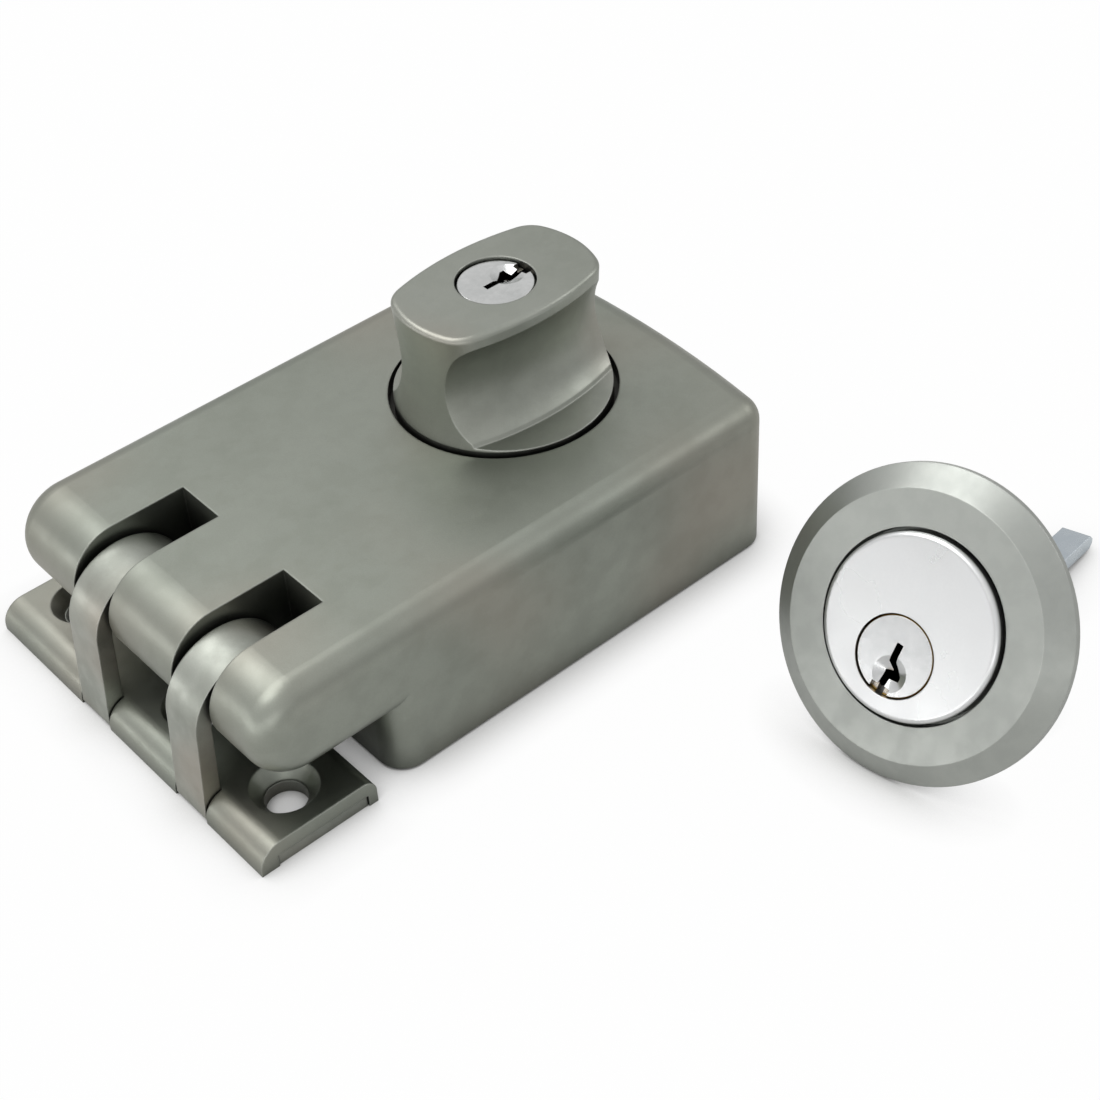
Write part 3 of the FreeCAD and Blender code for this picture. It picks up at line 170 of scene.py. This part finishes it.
def makeFloor():
    mesh = bpy.data.meshes.new("floor")
    half = stage["floorSize"] / 2
    low = cadBox[0].z - stage["floorDrop"] * mm
    corners = [(-half, -half, low), (half, -half, low), (half, half, low), (-half, half, low)]
    mesh.from_pydata(corners, [], [(0, 1, 2, 3)])
    floor = bpy.data.objects.new("floor", mesh)
    bpy.context.scene.collection.objects.link(floor)
    material = newMaterial("white card")
    tree = material.node_tree
    paint = addNode(tree, "ShaderNodeBsdfDiffuse", Color=hexColour(stage["floorColour"]))
    glow = addNode(tree, "ShaderNodeEmission", Color=(1, 1, 1, 1), Strength=1.0)
    near = addNode(tree, "ShaderNodeAmbientOcclusion", {"samples": 8},
                   Distance=stage["contact"] * mm)
    shadowFull, shadowEnd = stage["contactOpen"]
    kept = addNode(tree, "ShaderNodeMapRange", Value=near.outputs["AO"], From_Min=shadowFull,
                   From_Max=shadowEnd, To_Min=0.0, To_Max=stage["floorGlow"])
    share = times(tree, whiteShare(tree), kept.outputs[0])
    mix = addNode(tree, "ShaderNodeMixShader", n0=share, n1=paint.outputs[0],
                  n2=glow.outputs[0])
    addNode(tree, "ShaderNodeOutputMaterial", Surface=mix.outputs[0])
    mesh.materials.append(material)
    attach(floor, "strike")  # the strike stays on the card when the lock lifts off it


def makeSky():
    world = bpy.data.worlds.new("studio")
    world.use_nodes = True
    tree = world.node_tree
    tree.nodes.clear()
    place = addNode(tree, "ShaderNodeTexCoord")
    split = addNode(tree, "ShaderNodeSeparateXYZ", Vector=place.outputs["Generated"])
    rise = addNode(tree, "ShaderNodeMapRange", {"interpolation_type": "SMOOTHSTEP"},
                   Value=split.outputs["Z"], From_Min=stage["skyRise"][0],
                   From_Max=stage["skyRise"][1],
                   To_Min=stage["skySide"], To_Max=stage["skyTop"])
    across = addNode(tree, "ShaderNodeMapRange", {"interpolation_type": "SMOOTHSTEP"},
                     Value=split.outputs["X"], From_Min=stage["skyAcross"][0],
                     From_Max=stage["skyAcross"][1],
                     To_Min=stage["skyLeft"], To_Max=stage["skyRight"])
    light = times(tree, rise.outputs[0], across.outputs[0])
    level = addNode(tree, "ShaderNodeMix", {"data_type": "FLOAT"}, n0=whiteShare(tree), n2=light,
                    n3=1.0)
    sky = addNode(tree, "ShaderNodeBackground", Color=(1, 1, 1, 1), Strength=level.outputs[0])
    addNode(tree, "ShaderNodeOutputWorld", Surface=sky.outputs[0])
    bpy.context.scene.world = world


def makeLamps():
    for name, lamp in lamps.items():
        data = bpy.data.lights.new(name, "AREA")
        data.shape = "RECTANGLE"
        data.size, data.size_y = lamp["size"]
        data.energy = lamp["watts"]
        item = bpy.data.objects.new(name, data)
        bpy.context.scene.collection.objects.link(item)
        place = Vector(lamp["place"])
        item.location = place
        item.rotation_mode = "QUATERNION"
        item.rotation_quaternion = (Vector(lamp["aim"]) - place).to_track_quat("-Z", "Y")


makeFloor()
makeSky()
makeLamps()
bpy.context.scene.view_settings.view_transform = "Standard"
print("stage set")


# finishes: cloud, mottle, grain, bump, edge, reach and rim are millimetres on the real surface,
# spread is how far the clouds go to the shade, hollow how dark the painted shade in hollows
# gets, and the edge colour is a painted highlight on corners

# real wear and uneven tone, together with the painted corner highlight and the painted shade in
# hollows
wearAndPaintedLight = {
    "mottleShare": 0.4,         # of the mottle against the wider clouds
    "grainShare": 0.16,         # how much shade the grain brings
    "brownedSize": 1.7,         # times the clouds' size
    "brownedShare": 0.55,
    "cornerHighlightShare": 0.55,        # how strongly corners take the painted highlight of the edge colour
    "cornerLean": (0.99, 0.80),  # cosines of the lean where a corner starts and is full
    "rimFade": 0.12,            # mm
    "cutFade": 0.4,             # mm
    "cutShare": 0.8,
    "shadeOpen": (0.05, 0.75),  # openness where the painted shade is darkest and where a face is clear of it
    "glossFrom": -0.05,         # roughness of clear patches against the finish's own
    "glossTo": 0.06,            # and of cloudy ones
    "relief": 0.5,
}
bareBrass = "#9A7A3C"
keywayPlated = 0.7 * mm  # how far below a plug's face the plating reaches


def patch(tree, place, size, detail=2.0, low=0.35, high=0.65):
    # soft random patches of one size, spread to run from 0 to 1
    noise = addNode(tree, "ShaderNodeTexNoise", Vector=place, Scale=1 / (size * mm),
                    Detail=detail)
    return addNode(tree, "ShaderNodeMapRange", {"interpolation_type": "SMOOTHSTEP"},
                   Value=noise.outputs["Fac"], From_Min=low, From_Max=high).outputs[0]


def blend(tree, share, first, second, kind="MIX"):
    return addNode(tree, "ShaderNodeMix", {"data_type": "RGBA", "blend_type": kind}, n0=share,
                   n6=first, n7=second).outputs[2]


def edgeShare(tree, radius):
    # 0 on open faces and 1 on a corner, from how far the rounded normal leans off the true one
    rounded = addNode(tree, "ShaderNodeBevel", {"samples": 4}, Radius=radius * mm)
    true = addNode(tree, "ShaderNodeNewGeometry")
    dot = addNode(tree, "ShaderNodeVectorMath", {"operation": "DOT_PRODUCT"},
                  n0=rounded.outputs[0], n1=true.outputs["Normal"])
    start, full = wearAndPaintedLight["cornerLean"]
    lean = addNode(tree, "ShaderNodeMapRange", Value=dot.outputs["Value"], From_Min=start,
                   From_Max=full)
    return lean.outputs[0], rounded.outputs[0]


def turnedLines(tree, place, centre, axis, pitch):
    # fine rings about a turning axis, as a lathe leaves on a face
    spin = Vector(axis).to_track_quat("Z", "Y").to_euler()
    local = addNode(tree, "ShaderNodeMapping", {"vector_type": "TEXTURE"}, Vector=place,
                    Location=centre, Rotation=spin)
    flat = addNode(tree, "ShaderNodeVectorMath", {"operation": "MULTIPLY"}, n0=local.outputs[0],
                   n1=(1, 1, 0))
    reach = addNode(tree, "ShaderNodeVectorMath", {"operation": "LENGTH"}, n0=flat.outputs[0])
    lines = addNode(tree, "ShaderNodeTexNoise", {"noise_dimensions": "1D"},
                    W=reach.outputs["Value"], Scale=1 / (pitch * mm), Detail=3.0)
    along = addNode(tree, "ShaderNodeSeparateXYZ", Vector=local.outputs[0])
    return lines.outputs["Fac"], reach.outputs["Value"], along.outputs["Z"]


joints = {joint["name"]: joint for joint in frame["record"]["behaviour"]["joints"]}
outside = joints["outside_key_turn"]
plugCentre = Vector(outside["pos_m"])
plugAxis = Vector(outside["axis"])


def metal(name, colour, shade, rough, cloud, mottle, grain, bump, edge, edgeHighlightColour, hollowShade=0.5,
          reach=4.0, spread=0.5, warm=None, turned=None, rim=None, cutBelow=None):
    material = newMaterial(name)
    tree = material.node_tree
    place = addNode(tree, "ShaderNodeTexCoord").outputs["Object"]
    clouds = patch(tree, place, cloud)
    mottles = patch(tree, place, mottle, detail=4.0)
    grains = patch(tree, place, grain, detail=3.0, low=0.25, high=0.75)
    uneven = addNode(tree, "ShaderNodeMix", {"data_type": "FLOAT"}, n0=wearAndPaintedLight["mottleShare"],
                     n2=clouds, n3=mottles)
    paint = blend(tree, times(tree, uneven.outputs[0], spread), hexColour(colour),
                  hexColour(shade))
    paint = blend(tree, times(tree, grains, wearAndPaintedLight["grainShare"]), paint, hexColour(shade))
    if warm:
        # plating that has browned a little in wide, faint patches
        browned = patch(tree, place, cloud * wearAndPaintedLight["brownedSize"], detail=1.0, low=0.42,
                        high=0.72)
        paint = blend(tree, times(tree, browned, wearAndPaintedLight["brownedShare"]), paint, hexColour(warm))
    corner, rounded = edgeShare(tree, edge)
    # painted highlight: corners are lightened towards the finish's edge colour
    paint = blend(tree, times(tree, corner, wearAndPaintedLight["cornerHighlightShare"]), paint, hexColour(edgeHighlightColour))
    height = grains
    if turned:
        lines, radius, along = turnedLines(tree, place, *turned)
        height = addNode(tree, "ShaderNodeMath", {"operation": "ADD"}, n0=grains,
                         n1=lines).outputs[0]
    if rim:
        # the plating is worn to the brass from this radius out
        worn = addNode(tree, "ShaderNodeMapRange", Value=radius,
                       From_Min=(rim - wearAndPaintedLight["rimFade"]) * mm, From_Max=rim * mm)
        paint = blend(tree, worn.outputs[0], paint, hexColour(bareBrass))
    if cutBelow is not None:
        # the keyway was cut after plating, so below this height on the axis the brass is bare
        cut = addNode(tree, "ShaderNodeMapRange", Value=along, From_Min=cutBelow,
                      From_Max=cutBelow - wearAndPaintedLight["cutFade"] * mm)
        paint = blend(tree, times(tree, cut.outputs[0], wearAndPaintedLight["cutShare"]), paint,
                      hexColour(bareBrass))
    # painted shade: hollows and crevices are darkened by how closed in they are within reach
    near = addNode(tree, "ShaderNodeAmbientOcclusion", {"samples": 6}, Distance=reach * mm)
    darkest, clearFace = wearAndPaintedLight["shadeOpen"]
    clear = addNode(tree, "ShaderNodeMapRange", Value=near.outputs["AO"], From_Min=darkest,
                    From_Max=clearFace, To_Min=1 - hollowShade, To_Max=1.0)
    shadowed = addNode(tree, "ShaderNodeVectorMath", {"operation": "SCALE"}, n0=paint,
                       Scale=clear.outputs[0])
    gloss = addNode(tree, "ShaderNodeMapRange", Value=uneven.outputs[0],
                    To_Min=rough + wearAndPaintedLight["glossFrom"], To_Max=rough + wearAndPaintedLight["glossTo"])
    relief = addNode(tree, "ShaderNodeBump", Strength=wearAndPaintedLight["relief"], Distance=bump * mm,
                     Height=height, Normal=rounded)
    surface = addNode(tree, "ShaderNodeBsdfPrincipled", Base_Color=shadowed.outputs[0],
                      Metallic=1.0, Roughness=gloss.outputs[0], Normal=relief.outputs[0])
    addNode(tree, "ShaderNodeOutputMaterial", Surface=surface.outputs[0])
    return material


def faceHeight(name, centre, axis):
    # the furthest that a node reaches along its axis from the centre
    return max((vertex.co - centre).dot(axis) for vertex in nodes[name].data.vertices)


towardsFace = plugAxis.copy()
if (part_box("tail_bar")[0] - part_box("outer_plug")[0]).dot(plugAxis) > 0:
    towardsFace.negate()  # the tail is behind the plug
outerFace = (plugCentre, towardsFace)
knobFace = (Vector((0, 0, 0)), Vector((0, 0, 1)))
finishes = {
    # blasted then chromed die casting: soft grey-green with cloudy patches, and a painted
    # highlight on its corners
    "satinChrome": dict(
        colour="#9B9F96", shade="#7E8279", rough=0.40, cloud=26, mottle=5, grain=0.22,
        bump=0.012, edge=0.45, edgeHighlightColour="#BDC0B9", hollowShade=0.98, reach=9.0, warm="#A39A8F"),
    # the knob's own plating, a little brighter than the case's
    "satinKnob": dict(
        colour="#A6A9A1", shade="#878B82", rough=0.38, cloud=20, mottle=4, grain=0.22,
        bump=0.012, edge=0.40, edgeHighlightColour="#C9CBC5", hollowShade=0.90, reach=18.0, warm="#A89E94"),
    # tumbled loops and plate: the same plating, a little brighter and more uneven
    "satinLoop": dict(
        colour="#ADB0A8", shade="#8B8E86", rough=0.39, cloud=12, mottle=3.0, grain=0.25,
        bump=0.012, edge=0.35, edgeHighlightColour="#C8CAC4", spread=0.6, hollowShade=0.85, reach=7.0,
        warm="#A79C90"),
    # turned ring with a silky lathe finish under the same plating
    "satinRing": dict(
        colour="#ACAFAA", shade="#9C9F9B", rough=0.40, cloud=18, mottle=3, grain=0.2, bump=0.006,
        edge=0.30, edgeHighlightColour="#D2D3CF", spread=0.6, turned=outerFace + (0.12,)),
    # bright nickel face with a fine blasted grain
    "brightFace": dict(
        colour="#DCDDDD", shade="#CFD0D1", rough=0.30, cloud=18, mottle=12.0, grain=0.45,
        bump=0.0015, edge=0.25, edgeHighlightColour="#E8E8E6", turned=outerFace + (0.3,)),
    # polished plug, cut bright, with its plating worn to brass at the rim
    "outerPlug": dict(
        colour="#DADBDB", shade="#B4B5B6", rough=0.14, cloud=5, mottle=1.2, grain=0.12,
        bump=0.006, edge=0.12, edgeHighlightColour="#F2F2F0", hollowShade=0.85, turned=outerFace + (0.1,),
        rim=6.62, cutBelow=faceHeight("outer_plug", *outerFace) - keywayPlated),
    "knobPlug": dict(
        colour="#E6E7E6", shade="#BFC1C0", rough=0.16, cloud=5, mottle=1.2, grain=0.14,
        bump=0.01, edge=0.18, edgeHighlightColour="#F6F6F4", hollowShade=0.85, turned=knobFace + (0.1,),
        cutBelow=faceHeight("knob_plug", *knobFace) - keywayPlated),
    # hard chromed bolts, ground along their length
    "groundSteel": dict(
        colour="#9C9D9A", shade="#858683", rough=0.24, cloud=7, mottle=1.5, grain=0.12,
        bump=0.006, edge=0.25, edgeHighlightColour="#CFCFCC"),
    # turned brass that never got plated
    "brass": dict(
        colour="#B79A5B", shade="#94783F", rough=0.27, cloud=5, mottle=1.2, grain=0.15,
        bump=0.008, edge=0.15, edgeHighlightColour="#D8C084"),
    # wound spring wire with drawing marks
    "springSteel": dict(
        colour="#8A8A88", shade="#6B6B69", rough=0.30, cloud=3, mottle=0.8, grain=0.1,
        bump=0.004, edge=0.08, edgeHighlightColour="#B5B5B3"),
    # bright zinc plate with its blue-white cast
    "zincPlate": dict(
        colour="#D2DAE0", shade="#B4BEC6", rough=0.30, cloud=10, mottle=2.5, grain=0.18,
        bump=0.010, edge=0.25, edgeHighlightColour="#DCE3E8"),
    # ground hardened steel for the dog, ball and cam
    "hardSteel": dict(
        colour="#7C7C7A", shade="#646462", rough=0.32, cloud=5, mottle=1.4, grain=0.14,
        bump=0.006, edge=0.20, edgeHighlightColour="#A9A9A6"),
    # plain die casting, dull and open-grained
    "castHub": dict(
        colour="#6F6F6A", shade="#5A5A56", rough=0.50, cloud=8, mottle=2.0, grain=0.35,
        bump=0.03, edge=0.35, edgeHighlightColour="#8F8F8A", spread=0.8),
}
wearing = {
    "satinChrome": ["case", "strike_cover", "bolt_bore_cap"],
    "satinKnob": ["knob"],
    "satinLoop": ["strike_plate", "strike_loops"],
    "satinRing": ["cylinder_ring"],
    "brightFace": ["cylinder_body"],
    "outerPlug": ["outer_plug"],
    "knobPlug": ["knob_plug"],
    "groundSteel": ["bolt_pins"],
    "brass": ["knob_cylinder", "knob_key_pins", "knob_driver_pins", "outer_key_pins",
              "outer_driver_pins", "hub_washer", "knob_pin_cover", "outer_pin_cover"],
    "springSteel": ["knob_pin_springs", "outer_pin_springs", "detent_spring"],
    "zincPlate": ["tail_bar", "tail_cap", "tail_cap_screws", "back_plate", "plate_screws",
                  "lock_ring", "lock_ring_screws", "guide_studs", "guide_clips", "bolt_carrier",
                  "knob_screws", "knob_cam_screws"],
    "hardSteel": ["crank_roller", "lock_dog", "detent_ball", "knob_plug_cam"],
    "castHub": ["drive_hub"],
}
for finish, names in wearing.items():
    material = metal(finish, **finishes[finish])
    for name in names:
        nodes[name].data.materials.clear()
        nodes[name].data.materials.append(material)
bare = sorted(set(nodes) - {name for names in wearing.values() for name in names})
print("finishes put on:", len(wearing), "materials, nodes left bare:", bare)
